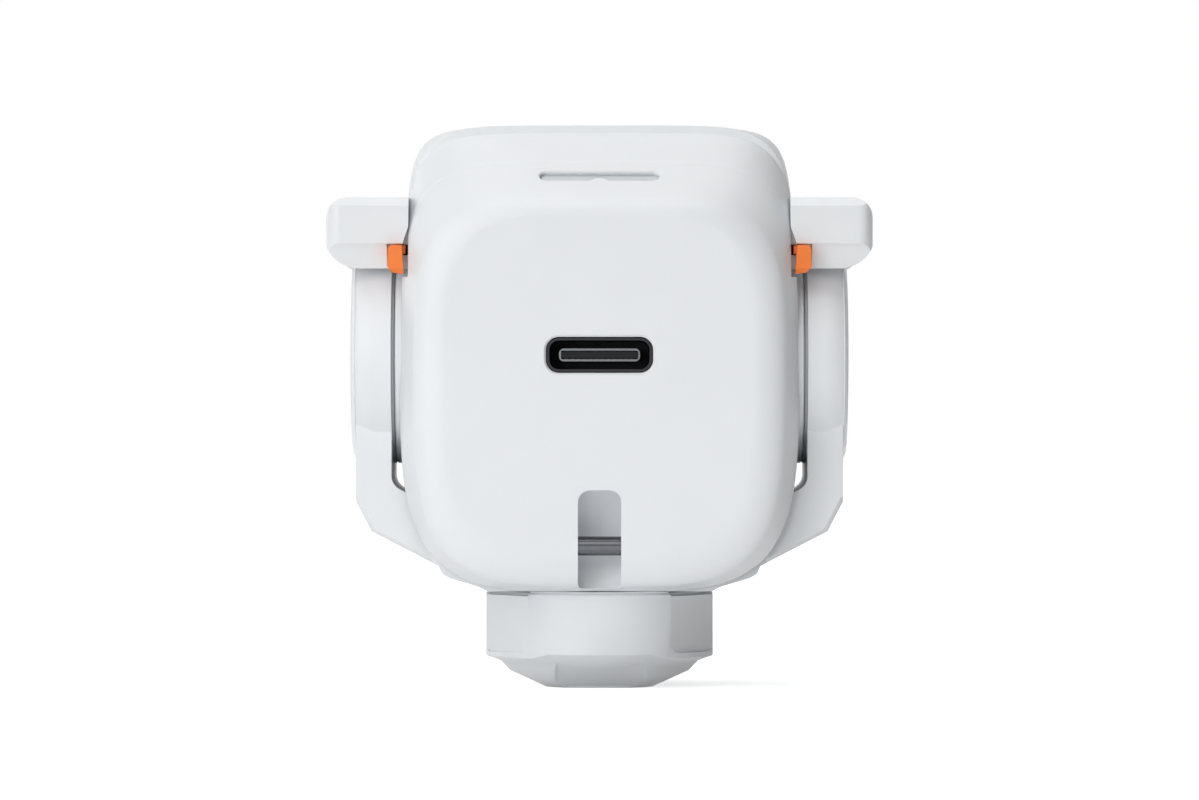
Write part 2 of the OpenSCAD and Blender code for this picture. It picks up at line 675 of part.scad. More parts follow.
disc_step = 0.45;       // width and height of the step under each disc's rim
clip_w = 1.2;           // width of a disc clip
clip_t = 0.5;           // thickness of a disc clip
clip_gap = 0.16;        // gap between a disc clip and the housing's wall
module pivot_disc() at_pivot() difference() {
    union() {
        along_x(seat_x + disc_step, disc_x, disc_r);
        along_x(seat_x, seat_x + disc_step, disc_r - disc_step);
        along_x(pin_end_x - seat_gap, seat_x, spigot_r);
    }
    along_x(0, big, pin_r + run);
}
module pivot_disc_left() color("whitesmoke") left() pivot_disc();
module pivot_disc_right() color("whitesmoke") pivot_disc();
clip_r = spigot_r + clip_w;
clip_x = half_width(axis_d + clip_r, wall) - clip_gap;
module disc_clips() color("dimgray") both() at_pivot() difference() {
    along_x(clip_x - clip_t, clip_x, clip_r);
    along_x(0, big, spigot_r + fit);
}

// ---------------------------------------------------------------- ears and release buttons

ear_x = head_w / 2 + ear_len;
ear_z = pivot_z + ear_low;
ear_under_r = arm_r + 0.75;
root_r = disc_r + 0.33;
ear_face_y = -ear_d / 2;
ear_top_round = 1.8;    // radius along an ear's upper edge
ear_low_round = 2.9;    // radius along an ear's lower edge
ear_low_past = 0.18;    // how far that radius runs past the ear's end
ear_plan_round = 1.2;   // radius of an ear's corners, seen from above
ear_lip = [0.35, 0.38];    // depth and height of the lip along the foot of each ear's ends
ear_bevel = [0.85, 1.7];   // depth and height of the bevel under that lip
ear_top_bevel = 0.72;   // bevel over each ear's ends
button_w = 1.3;         // width of a release button
button_h = 2.42;        // height of a release button
button_low = 0.5;       // how far a release button hangs below the ear
button_x = [seat_x + 0.4, seat_x + 0.4 + button_w];
button_z = [ear_z - button_low, ear_z - button_low + button_h];
button_proud = 1;       // how far a release button stands out
button_room = 0.25;     // gap between a release button and the seat around it
wedge_h = 1.45;         // height of the sloping corner over a release button
wedge_z = button_z[1] + slide + wedge_h;
button_back_y = ear_face_y + 0.55;
pocket_y = button_back_y + button_travel + thin_gap;
button_stem_w = 0.7;    // width and height of the stem behind each button
stem_x = [seat_x + 0.25, seat_x + 0.25 + button_stem_w];
stem_z = [ear_z + 1.2, ear_z + 1.2 + button_stem_w];
stem_depth = 3.6;       // depth of the stem's end behind the ear's face
stem_y = ear_face_y + stem_depth;
spring_len = 2.8;       // length of a button's spring at rest
spring_y = stem_y + spring_len;
ear_screw_in = 3.3;     // length of an ear screw inside the ear

module ear_front() intersection() {
    round_end(seat_x, ear_x, ear_z - ear_h, ear_top, ear_top_round, ear_top_round);
    round_end(seat_x, ear_x + ear_low_past, ear_z, ear_top + ear_h, ear_low_round, ear_top_round);
}
module ear_plan() round_end(seat_x, ear_x, ear_face_y, -ear_face_y, ear_plan_round, ear_plan_round);
module ear_side() {
    half = [
        [0, ear_z], [ear_d / 2 - ear_lip[0] - ear_bevel[0], ear_z],
        [ear_d / 2 - ear_lip[0], ear_z + ear_bevel[1]],
        [ear_d / 2, ear_z + ear_bevel[1] + ear_lip[1]], [ear_d / 2, ear_top - ear_top_bevel],
        [ear_d / 2 - ear_top_bevel, ear_top], [0, ear_top]
    ];
    polygon(concat(half, [for (k = [len(half) - 2:-1:1]) [-half[k][0], half[k][1]]]));
}
module ear() difference() {
    intersection() {
        extrude_y(-big, big) ear_front();
        extrude_x(0, big) ear_side();
        linear_extrude(height = big) ear_plan();
    }
    at_pivot() along_x(disc_x, big, ear_under_r);
    at_pivot() along_x(0, big, root_r);
    block([0, button_x[1] + slide], [-big, pocket_y], [-big, button_z[1] + slide]);
    extrude_y(-big, pocket_y) polygon([
        [0, wedge_z + seat_x], [seat_x, wedge_z], [button_x[0] + slide, button_z[1] + slide],
        [button_x[0] + slide, ear_z], [0, ear_z]
    ]);
    block([0, stem_x[1] + slide], [-big, spring_y], [stem_z[0] - slide, stem_z[1] + slide]);
    for (s = [-1, 1]) translate([0, s * ear_screw_y, ear_screw_z])
        along_x(0, seat_x + ear_screw_in + seat_gap, ear_screw_r + fit);
}
module ear_left() color("whitesmoke") left() ear();
module ear_right() color("whitesmoke") ear();
module ear_screws() color("silver") both() for (s = [-1, 1]) translate([0, s * ear_screw_y, ear_screw_z]) {
    along_x(wall_x + thin_gap - screw_head_t, wall_x + thin_gap, screw_head_r);
    along_x(wall_x + thin_gap - screw_head_t, seat_x + ear_screw_in, ear_screw_r);
}
module button() {
    front_y = ear_face_y - button_proud;
    intersection() {
        extrude_y(front_y, button_back_y) polygon([
            [button_x[0] + 0.12, button_z[1]], [button_x[1] - 0.35, button_z[1]],
            [button_x[1] - 0.1, button_z[1] - 0.1], [button_x[1], button_z[1] - 0.35],
            [button_x[1], button_z[0] + 0.55], [button_x[1] - 0.4, button_z[0] + 0.12],
            [button_x[0] - 0.05, button_z[0]]
        ]);
        extrude_x(0, big) polygon([
            [front_y, button_z[0] + 0.45], [front_y + 0.4, button_z[0] - 0.1],
            [button_back_y, button_z[0] - 0.1],
            [button_back_y, big], [front_y, big]
        ]);
    }
    block(stem_x, [button_back_y - 0.1, stem_y], stem_z);
}
module button_left() color("darkorange") left() button();
module button_right() color("darkorange") button();

spring_turns = 5;
spring_steps = 10;      // points in each turn
wire_sides = 5;
module button_spring() {
    coil_r = 0.26;
    wire_r = 0.06;
    count = spring_turns * spring_steps;
    length = spring_len - 2 * wire_r - 0.06;
    function centre(k) = [
        coil_r * cos(360 * k / spring_steps), wire_r + 0.03 + length * k / count,
        coil_r * sin(360 * k / spring_steps)
    ];
    function around(k, i) = let (a = 360 * i / wire_sides, turn = 360 * k / spring_steps)
        centre(k) + wire_r * [cos(a) * cos(turn), sin(a), cos(a) * sin(turn)];
    translate([(stem_x[0] + stem_x[1]) / 2, stem_y, (stem_z[0] + stem_z[1]) / 2])
        polyhedron(
            points = [for (k = [0:count]) for (i = [0:wire_sides - 1]) around(k, i)],
            faces = concat(
                [[for (i = [0:wire_sides - 1]) i]],
                [for (k = [0:count - 1]) for (i = [0:wire_sides - 1])
                    let (j = (i + 1) % wire_sides, a = k * wire_sides, b = a + wire_sides)
                    each [[a + i, b + j, a + j], [a + i, b + i, b + j]]],
                [[for (i = [wire_sides - 1:-1:0]) count * wire_sides + i]]));
}
module button_spring_left() color("silver") left() button_spring();
module button_spring_right() color("silver") button_spring();

// ---------------------------------------------------------------- small pieces in the shells

module lanyard_pin() color("silver") lanyard_place()
    along_x(-lanyard_w / 2 - lanyard_pin_in, lanyard_w / 2 + lanyard_pin_in, lanyard_pin_r);
flange_low = guide_len + guide_flange_t;
led_t = 0.5;            // thickness of a lamp
led_half_w = 0.8;       // half width of a lamp
led_apart = 3;          // distance of each lamp from the middle
led_board_t = 0.5;      // thickness of the lamps' board
module light_guide() color("lightgray") {
    light_column(-fit, -guide_len, -guide_sink);
    on_slope() translate([0, 0, -flange_low]) linear_extrude(height = guide_flange_t)
        slot_shape(light_len + 2 * guide_flange_t, light_w + 1.6 * guide_flange_t);
}
module led() color("khaki") on_slope() for (x = [-led_apart, led_apart])
    block([x - led_half_w, x + led_half_w], [-led_t, led_t], [-flange_low - led_t, -flange_low]);
module led_board() color("seagreen") on_slope()
    block([-light_len / 2 - guide_flange_t, light_len / 2 + guide_flange_t], [-light_w, light_w - thin_gap],
        [-flange_low - led_t - led_board_t, -flange_low - led_t]);

// ---------------------------------------------------------------- USB socket

usb_back_y = board_y - seat_gap;
plug_stop_t = 2.2;      // thickness of the block that ends the socket
plug_stop_y = usb_back_y - plug_stop_t;
contact_pitch = 0.5;    // distance between two contacts
contact_count = 12;     // contacts on each side of the tongue
contact_t = 0.06;       // thickness of a contact
contact_half_w = 0.13;  // half width of a contact
contact_sink = 0.7;     // depth of the contacts behind the shell's mouth
tongue_sink = 0.6;      // depth of the tongue behind the shell's mouth
module usb_shell() color("dimgray") translate([0, 0, pivot_z]) difference() {
    extrude_y(usb_y, usb_back_y) usb_outline(0);
    extrude_y(usb_y - eps, usb_back_y + eps) usb_outline(-usb_wall);
}
module usb_tongue() color("black") translate([0, 0, pivot_z]) {
    extrude_y(plug_stop_y, usb_back_y) usb_outline(-usb_wall - fit);
    block([-tongue_w / 2, tongue_w / 2], [usb_y + tongue_sink, plug_stop_y + seat_gap],
        [-tongue_t / 2, tongue_t / 2]);
}
// The collar goes round the tongue and its contacts.
collar_sink = 1.1;      // depth of the collar behind the shell's mouth
collar_round = 0.4;     // radius of the collar's corners
collar_in_round = 0.12; // radius of its opening's corners
collar_y = usb_y + collar_sink;
collar_in_w = tongue_w + 2 * fit;
collar_in_h = tongue_t + 2 * (contact_t + fit);
module usb_collar() color("silver") translate([0, 0, pivot_z]) difference() {
    extrude_y(collar_y, plug_stop_y - fit)
        rounded(collar_in_w + 2 * collar_wall, collar_in_h + 2 * collar_wall, collar_round);
    extrude_y(collar_y - eps, plug_stop_y + eps)
        rounded(collar_in_w, collar_in_h, collar_in_round);
}
module usb_contacts() color("gold") translate([0, 0, pivot_z])
    for (k = [0:contact_count - 1]) for (s = [0, 1]) mirror([0, 0, s])
        translate([(k - (contact_count - 1) / 2) * contact_pitch, 0, tongue_t / 2])
            block([-contact_half_w, contact_half_w], [usb_y + contact_sink, plug_stop_y],
                [0, contact_t]);

// ---------------------------------------------------------------- electronics

part_gap = 0.3;         // gap between two parts on the boards
board_gap = 0.6;        // gap between the main board and the belly
board_half_w = case_x + 1.2;
// Radius inside the belly's wall at distance x from the middle.
function inner_r(x) = belly_r - wall - (x - floor_half_w) * tan_s;
board_z = pivot_z - sqrt(pow(inner_r(board_half_w) - board_gap, 2) - pow(board_y, 2));
board_top = pivot_z + reach_at(board_half_w, board_y - face_y, wall) - board_gap;
spreader_y = lid_y - lip_h - seat_gap;
spreader_half_w = board_half_w - 1;
spreader_low = sqrt(max(pow(inner_r(spreader_half_w) - board_gap, 2) - pow(spreader_y, 2), 1));
spreader_over = 3.5;    // height of the heat spreader above the transformer
core_y = spreader_y - spreader_t - pad_t;
core_z = pivot_z - 0.5;
core_top = core_z + core_h;
core_web = 1.6;         // thickness of the transformer core above and below its window
core_side = 1.2;        // least thickness of the core beside its window
leg_r = 2.2;            // radius of the core's middle leg
coil_out_r = min(core_w, core_y - back_y) / 2 - core_side;
can_x = case_x - lug_half_w - part_gap - can_r;
inductor_d = 6;         // depth of the inductor
inductor_half_w = can_x - can_r - 2 * part_gap;
port_board_t = 0.8;     // thickness of the board under the socket
port_board_half_w = 7.5;   // half width of that board
power_chip = [4, 0.9, 5];  // width, thickness and height of a power chip
control_chip = [4.5, 0.9, 4.5];
small_chip = [3, 0.7, 3];
module port_board() color("seagreen")
    block([-port_board_half_w, port_board_half_w], [post_in_y + part_gap, board_y],
        [pivot_z - usb_h / 2 - port_board_t, pivot_z - usb_h / 2]);
module main_board() color("seagreen") difference() {
    block([-board_half_w, board_half_w], [board_y, back_y], [board_z, board_top]);
    case_points() along_y(-big, big, case_screw_r + seat_gap);
}
module case_screws() color("silver") case_points() {
    along_y(post_in_y + post_floor + head_room, back_y + lug_t + screw_head_t, case_screw_r);
    along_y(back_y + lug_t, back_y + lug_t + screw_head_t, screw_head_r);
}
// Upright cylinder in the middle of the transformer, between gaps below and above.
module core_middle(gap, r) translate([0, (back_y + core_y) / 2, core_z + gap])
    cylinder(h = core_h - 2 * gap, r = r);
module transformer_core() color("darkslategray") {
    difference() {
        block([-core_w / 2, core_w / 2], [back_y, core_y], [core_z, core_top]);
        core_middle(core_web, coil_out_r + seat_gap);
    }
    core_middle(core_web, leg_r);
}
module transformer_winding() color("orange") difference() {
    core_middle(core_web + thin_gap, coil_out_r);
    core_middle(0, leg_r + seat_gap);
}
module capacitors() color("darkslateblue") both()
    translate([can_x, 0, core_z - part_gap - can_r]) along_y(back_y, core_y, can_r);
module inductor() color("dimgray") block([-inductor_half_w, inductor_half_w],
    [back_y, back_y + inductor_d], [board_z + part_gap, core_z - part_gap]);
module power_chips() color("black") both()
    translate([board_half_w - part_gap - power_chip[0], back_y,
        case_z_high - lug_half_h - part_gap - power_chip[2]]) cube(power_chip);
module control_chips() color("black") {
    translate([-control_chip[0] * 2, board_y - control_chip[1], core_z + core_h / 2]) cube(control_chip);
    translate([small_chip[0], board_y - small_chip[1], core_z + core_h / 2]) cube(small_chip);
}
module heat_spreader() color("silver") block([-spreader_half_w, spreader_half_w],
    [spreader_y - spreader_t, spreader_y], [pivot_z - spreader_low, core_top + spreader_over]);
module thermal_pad() color("lightsteelblue") block([core_web - core_w / 2, core_w / 2 - core_web],
    [core_y, core_y + pad_t], [core_z + core_web, core_top - core_web]);

knob();
foot_disc();
spindle();
spindle_screw();
swivel_washer();
yoke();
hub_bush();
arm_cap_left();
arm_cap_right();
pivot_pin_left();
pivot_pin_right();
friction_washer_left();
friction_washer_right();
rear_cover();
main_housing();
front_cover();
pivot_disc_left();
pivot_disc_right();
disc_clips();
ear_left();
ear_right();
ear_screws();
lanyard_pin();
light_guide();
led();
led_board();
usb_shell();
usb_tongue();
usb_collar();
usb_contacts();
port_board();
main_board();
case_screws();
transformer_core();
transformer_winding();
capacitors();
inductor();
power_chips();
control_chips();
heat_spreader();
thermal_pad();
button_left();
button_right();
button_spring_left();
button_spring_right();
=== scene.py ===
import json
from math import asin, atan, cos, pi, radians, sin, sqrt, tan

import bmesh
import bpy
from mathutils import Matrix, Vector


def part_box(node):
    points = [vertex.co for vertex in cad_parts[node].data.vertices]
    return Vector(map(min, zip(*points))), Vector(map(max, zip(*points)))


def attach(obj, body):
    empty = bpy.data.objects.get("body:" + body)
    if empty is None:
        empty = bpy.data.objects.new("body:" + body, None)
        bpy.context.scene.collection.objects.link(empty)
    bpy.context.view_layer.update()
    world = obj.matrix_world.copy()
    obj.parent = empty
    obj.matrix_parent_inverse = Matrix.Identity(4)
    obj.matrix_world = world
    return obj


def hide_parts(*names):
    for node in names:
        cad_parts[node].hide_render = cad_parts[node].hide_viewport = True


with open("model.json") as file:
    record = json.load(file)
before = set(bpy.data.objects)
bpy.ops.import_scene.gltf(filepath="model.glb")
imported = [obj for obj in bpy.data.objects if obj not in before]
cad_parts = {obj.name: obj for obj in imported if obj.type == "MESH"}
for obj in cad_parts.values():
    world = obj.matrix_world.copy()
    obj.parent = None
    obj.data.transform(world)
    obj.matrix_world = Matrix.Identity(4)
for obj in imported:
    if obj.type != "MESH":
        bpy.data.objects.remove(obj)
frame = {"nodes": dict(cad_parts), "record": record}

MM = 0.001
NODES = frame["nodes"]
SCENE = bpy.context.scene
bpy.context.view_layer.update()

# ---------------------------------------------------------------- camera

CAMERA_Y = -0.538       # the camera's distance in front of the swivel axis
CAMERA_Z = 0.0243       # its height over the floor
FOCAL_MM = 189.94
SENSOR_MM = 36

camera_data = bpy.data.cameras.new("camera")
camera_data.lens = FOCAL_MM
camera_data.sensor_width = SENSOR_MM
camera_data.clip_start = 0.01
camera_data.clip_end = 20
camera = bpy.data.objects.new("camera", camera_data)
camera.location = (0, CAMERA_Y, CAMERA_Z)
camera.rotation_euler = (pi / 2, 0, 0)
SCENE.collection.objects.link(camera)
SCENE.camera = camera

# ---------------------------------------------------------------- sizes, from the frame, in millimetres


def span(node, axis):
    """Lowest and highest coordinate of a CAD node along an axis, in millimetres."""
    low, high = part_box(node)
    return low[axis] / MM, high[axis] / MM


FACE_Y = span("rear_cover", 1)[0]
SEAM_Y = span("main_housing", 1)[0]
BACK_Y = span("front_cover", 1)[1]
HEAD_TOP = span("main_housing", 2)[1]
CHIN_Z = span("rear_cover", 2)[0]
PIVOT_Z = sum(span("usb_shell", 2)) / 2
EAR_Y = span("ear_right", 1)
EAR_Z = span("ear_right", 2)
BUTTON_Y = span("button_right", 1)
BUTTON_Z = span("button_right", 2)
BUTTON_ROOM = 0.25      # gap round a button in front of the ear
WEDGE_H = 1.55          # height of the sloping corner over a button

HALF_W = 33.4 / 2       # half the head's greatest width
HEAD_D = BACK_Y - FACE_Y
HEAD_UP = HEAD_TOP - PIVOT_Z
HEAD_DOWN = PIVOT_Z - CHIN_Z
SEAM_D = SEAM_Y - FACE_Y
LID_D = HEAD_D - 2      # seam of the front cover
WALL = 1.6              # of the head's shells
SEAT_X = 16.0           # flat seats of the pivot discs
SEAT_R = 9.4
SEAT_GAP = 0.05         # round an ear in its seat
FACE_UP = 11.6          # upper edge of the face, over the tilt axis
EDGE_LEN = 1.2          # rounding around the face
EDGE_SIDE = 2.3
EDGE_LOW = 2.5
FLARE_LEN = 4           # flaring band behind the rounding
FLARE_SIDE = 1.64
FLARE_LOW = 0.7
LIP_RISE = 0.7          # rounding between the face and the slope over it
LIP_LEN = 1.5
SLOPE = 0.77            # rise over run of the slope
FRONT_R = 5             # rounding round the front cover
CROWN = 0.15            # softness of the bend from the slope to the top
STEP_H = 0.6            # step along the head's upper edge
STEP_RUN = 0.12
STEP_D = (HEAD_UP - STEP_H - FACE_UP - LIP_RISE) / SLOPE
SQUARE_RUN = 14.5       # depth over which the upper corners square up
SQUARE_POWER = 1.4
SIDE_TAPER = 0.034      # share by which the head narrows towards its top
TAPER_POWER = 1.32
FACE_POWER = 3.8        # superellipse powers of the corners: upper at the face,
LOW_POWER = 4.05        # lower,
TOP_POWER = 9           # and upper once squared up
BELLY_R = 16.25         # radius of the belly about the tilt axis
BELLY_FLAT = 6.3        # half width of the belly's cylindrical part
BELLY_SLOPE = tan(radians(27.3))
BELLY_OVER = 0.3        # how far the belly's turned form reaches past the head's sides
CHIN_GAP = 0.4          # the belly starts this far before the seam
GROOVE = 0.06           # chamfer on each side of a seam
FAR = 30                # reach of the cutting blocks, past the whole part
UNDER = -10             # height at which they start, under the floor

# ---------------------------------------------------------------- mesh helpers


def new_object(name, bm):
    """A linked mesh object from a bmesh in millimetres."""
    bmesh.ops.recalc_face_normals(bm, faces=bm.faces)
    mesh = bpy.data.meshes.new(name)
    bm.to_mesh(mesh)
    bm.free()
    mesh.transform(Matrix.Scale(MM, 4))
    obj = bpy.data.objects.new(name, mesh)
    SCENE.collection.objects.link(obj)
    return obj


def shade(obj, angle):
    """Smooth shading, with sharp edges where the faces bend more than angle, in degrees."""
    for polygon in obj.data.polygons:
        polygon.use_smooth = True
    obj.data.set_sharp_from_angle(angle=radians(angle))


def apply_modifiers(obj):
    """Bakes an object's modifiers into its mesh."""
    bpy.context.view_layer.update()
    evaluated = obj.evaluated_get(bpy.context.evaluated_depsgraph_get())
    mesh = bpy.data.meshes.new_from_object(evaluated)
    obj.modifiers.clear()
    obj.data = mesh


def cut(obj, cutters):
    """Subtracts the cutters from an object, one after another, and removes them."""
    for cutter in cutters:
        modifier = obj.modifiers.new("cut", "BOOLEAN")
        modifier.operation = "DIFFERENCE"
        modifier.solver = "EXACT"
        modifier.object = cutter
        apply_modifiers(obj)
        bpy.data.objects.remove(cutter)


def even_normals(obj):
    """Lets the large faces set the normals of a smooth-shaded object."""
    normals = obj.modifiers.new("normals", "WEIGHTED_NORMAL")
    normals.keep_sharp = True
    normals.weight = 100


WELD_MM = 0.002
FLAT_ANGLE = 0.6        # faces that bend less than this become one
EDGE_ANGLE = 28         # edges that bend more than this are rounded


def soften(obj, width):
    """Welds an object's mesh, rounds its edges by width in millimetres and evens out its normals."""
    weld = obj.modifiers.new("weld", "WELD")
    weld.merge_threshold = WELD_MM * MM
    planar = obj.modifiers.new("planar", "DECIMATE")
    planar.decimate_type = "DISSOLVE"
    planar.angle_limit = radians(FLAT_ANGLE)
    bevel = obj.modifiers.new("bevel", "BEVEL")
    bevel.width = width * MM
    bevel.segments = 2
    bevel.limit_method = "ANGLE"
    bevel.angle_limit = radians(EDGE_ANGLE)
    bevel.harden_normals = True
    bevel.use_clamp_overlap = True
    even_normals(obj)


def prism(outline, place, low, high, name="cutter"):
    """A closed prism of a flat outline, whose points place(u, v, w) puts at depths low and high."""
    bm = bmesh.new()
    near = [bm.verts.new(place(u, v, low)) for u, v in outline]
    far = [bm.verts.new(place(u, v, high)) for u, v in outline]
    count = len(outline)
    bm.faces.new(near)
    bm.faces.new(far[::-1])
    for i in range(count):
        j = (i + 1) % count
        bm.faces.new((near[i], far[i], far[j], near[j]))
    return new_object(name, bm)


def box_mesh(x, y, z):
    """A box between the pairs of limits x, y and z."""
    bm = bmesh.new()
    corners = [bm.verts.new((a, b, c)) for a in x for b in y for c in z]
    for face in ((0, 1, 3, 2), (4, 6, 7, 5), (0, 4, 5, 1), (2, 3, 7, 6), (0, 2, 6, 4), (1, 5, 7, 3)):
        bm.faces.new([corners[i] for i in face])
    return bm


def rings(sections):
    """A closed skin through rings of the same number of points, capped at both ends."""
    bm = bmesh.new()
    rows = [[bm.verts.new(p) for p in ring] for ring in sections]
    count = len(rows[0])
    for near, far in zip(rows, rows[1:]):
        for i in range(count):
            j = (i + 1) % count
            bm.faces.new((near[i], far[i], far[j], near[j]))
    bm.faces.new(rows[0])
    bm.faces.new(rows[-1][::-1])
    return bm


def turned(profile, steps):
    """A closed skin turned about the tilt axis, from pairs of X and radius."""
    turns = [2 * pi * k / steps for k in range(steps)]
    return rings([[(x, r * cos(a), PIVOT_Z + r * sin(a)) for a in turns] for x, r in profile])


def arc(cx, cy, r, start, end, steps):
    """Points of an arc from start to end, in degrees."""
    return [
        (cx + r * cos(radians(start + (end - start) * k / steps)),
         cy + r * sin(radians(start + (end - start) * k / steps)))
        for k in range(steps + 1)
    ]


def circle(cx, cy, r, steps):
    """Points of a full circle, the first one not repeated."""
    return arc(cx, cy, r, 0, 360 - 360 / steps, steps - 1)


def rounded_box(x0, x1, y0, y1, low_r, high_r, steps=12):
    """Outline of a box with rounded corners, of radius low_r below and high_r above."""
    return (
        arc(x1 - low_r, y0 + low_r, low_r, -90, 0, steps)
        + arc(x1 - high_r, y1 - high_r, high_r, 0, 90, steps)
        + arc(x0 + high_r, y1 - high_r, high_r, 90, 180, steps)
        + arc(x0 + low_r, y0 + low_r, low_r, 180, 270, steps)
    )


def upright(u, v, w):
    """Puts an outline drawn in X and Z at depth w along Y."""
    return (u, w, v)


def sideways(u, v, w):
    """Puts an outline drawn in Y and Z at place w along X."""
    return (w, u, v)


def level(u, v, w):
    """Puts an outline drawn in X and Y at height w."""
    return (u, v, w)


# ---------------------------------------------------------------- head skin

RING_N = 224            # points around the head


def clamp01(t):
    return min(max(t, 0), 1)


def quarter(t):
    """Height of a quarter circle at t, from 0 to 1."""
    return sqrt(1 - (1 - clamp01(t)) ** 2)


def power_of(value, n):
    """A cosine or sine turned into that of a superellipse with power n."""
    return (1 if value >= 0 else -1) * abs(value) ** (2 / n)


def front_inset(d, w):
    """How far the rounding of the front cover draws the skin in at depth d."""
    return FRONT_R * (1 - quarter((HEAD_D - w - d) / FRONT_R))


def head_ring(d, w=0, inset=0):
    """Points of the head's outline at depth d behind the face, for a skin w inside the outer one."""
    run = max(d - w, 0)
    edge = 1 - quarter(run / EDGE_LEN)
    flare = 1 - clamp01(run / FLARE_LEN)
    wide = HALF_W - w - EDGE_SIDE * edge - FLARE_SIDE * flare - front_inset(d, w) - inset
    down = HEAD_DOWN - w - EDGE_LOW * edge - FLARE_LOW * flare - front_inset(d, w) - inset
    line = FACE_UP + LIP_RISE * quarter(run / LIP_LEN) + SLOPE * run
    top = HEAD_UP - STEP_H
    up = (line + top - sqrt((line - top) ** 2 + CROWN ** 2)) / 2 - w - front_inset(d, w) - inset
    up += STEP_H * clamp01((run - STEP_D) / STEP_RUN)
    high_power = FACE_POWER + (TOP_POWER - FACE_POWER) * clamp01(run / SQUARE_RUN) ** SQUARE_POWER
    points = []
    for i in range(RING_N):
        a = 2 * pi * i / RING_N
        high = sin(a) >= 0
        n = high_power if high else LOW_POWER
        rise = (up if high else down) * power_of(sin(a), n)
        narrow = 1 - SIDE_TAPER * (max(rise, 0) / HEAD_UP) ** TAPER_POWER
        points.append((wide * power_of(cos(a), n) * narrow, FACE_Y + d, PIVOT_Z + rise))
    return points


def seam_rings(depths, first, last):
    """Outer rings at the depths, with a small chamfer at the ends that meet another shell."""
    made = []
    if first:
        made.append(head_ring(depths[0], inset=GROOVE))
        depths = [depths[0] + GROOVE] + depths[1:]
    made += [head_ring(d) for d in (depths[:-1] if last else depths)]
    if last:
        made.append(head_ring(depths[-1] - GROOVE))
        made.append(head_ring(depths[-1], inset=GROOVE))
    return made


def barrel(w):
    """The turned form over the yoke's floor, w inside its surface."""
    half = HALF_W + BELLY_OVER
    middle_r = BELLY_R - w
    side_r = middle_r - (half - BELLY_FLAT) * BELLY_SLOPE
    profile = [(-half, side_r), (-BELLY_FLAT, middle_r), (BELLY_FLAT, middle_r), (half, side_r)]
    return turned(profile, 180)


def belly_cutter(w):
    """Everything under the tilt axis and behind the seam that lies outside the barrel."""
    block = new_object("block", box_mesh((-FAR, FAR), (SEAM_Y - CHIN_GAP, FAR), (UNDER, PIVOT_Z)))
    cut(block, [new_object("barrel", barrel(w))])
    return block


def seat_cutters():
    """Round and straight flats in the head's sides, for the pivot discs and the ears."""
    made = []
    ear_y = (EAR_Y[0] - SEAT_GAP, EAR_Y[1] + SEAT_GAP)
    ear_z = (EAR_Z[0] - SEAT_GAP, EAR_Z[1] + SEAT_GAP)
    button_y = (BUTTON_Y[0] - BUTTON_ROOM, 0)
    button_z = (BUTTON_Z[0] - BUTTON_ROOM, BUTTON_Z[1] + WEDGE_H)
    for ends in ((-FAR, -SEAT_X), (SEAT_X, FAR)):
        made.append(prism(circle(0, PIVOT_Z, SEAT_R, 96), sideways, *ends))
        made.append(new_object("seat", box_mesh(ends, ear_y, ear_z)))
        made.append(new_object("seat", box_mesh(ends, button_y, button_z)))
    return made


LIGHT_D = 3.5           # the light slot's middle, behind the face
LIGHT_LEN = 10
LIGHT_W = 1.2
LIGHT_CHAMFER = 0.12
LIGHT_DEPTH = 6
NUB_R = 1.05            # the nub's radius, and how far its centre lies under the slot
NUB_IN = 0.7
SLOPE_ANGLE = atan(SLOPE)


def on_slope(u, v, w):
    """Puts a point of the slope's own plane, w above it, in the part's frame."""
    base_z = PIVOT_Z + FACE_UP + LIP_RISE + SLOPE * LIGHT_D
    y = FACE_Y + LIGHT_D + v * cos(SLOPE_ANGLE) - w * sin(SLOPE_ANGLE)
    return (u, y, base_z + v * sin(SLOPE_ANGLE) + w * cos(SLOPE_ANGLE))


def light_outline(grow):
    """Outline of the light slot: straight sides, round ends and a nub in its lower side."""
    r = LIGHT_W / 2 + grow
    x = LIGHT_LEN / 2 - LIGHT_W / 2
    nub_r = NUB_R - grow
    low = -LIGHT_W / 2 - grow
    centre = -LIGHT_W / 2 - NUB_IN
    reach = sqrt(max(nub_r ** 2 - (low - centre) ** 2, 0.01))
    angle = atan((low - centre) / reach) * 180 / pi
    nub = arc(0, centre, nub_r, 180 - angle, angle, 16)
    return nub + arc(x, 0, r, -90, 90, 16) + arc(-x, 0, r, 90, 270, 16)


USB_W = 8.92            # opening round the socket's shell
USB_H = 3.0
USB_R = 1.1
USB_CHAMFER = 0.17
LANYARD_W = 3.6         # width of the pocket round the lanyard pin
POCKET_TOP_R = 1
POCKET_LOW_R = 0.5
POCKET_TOP = PIVOT_Z - 11.25
POCKET_LOW = CHIN_Z + 0.3
POCKET_DEPTH = 6
SCOOP_R = 5
SCOOP_DEPTH = 4
OVER = 0.5              # how far a cutter starts outside the surface


def usb_cutter():
    """The opening round the socket, with a chamfer at the face."""
    sections = []
    for y, grow in ((FACE_Y - OVER, OVER + USB_CHAMFER), (FACE_Y + USB_CHAMFER, 0), (SEAM_Y, 0)):
        x, z, r = USB_W / 2 + grow, USB_H / 2 + grow, USB_R + grow
        outline = rounded_box(-x, x, -z, z, r, r)
        sections.append([(u, y, PIVOT_Z + v) for u, v in outline])
    return new_object("usb_cut", rings(sections))


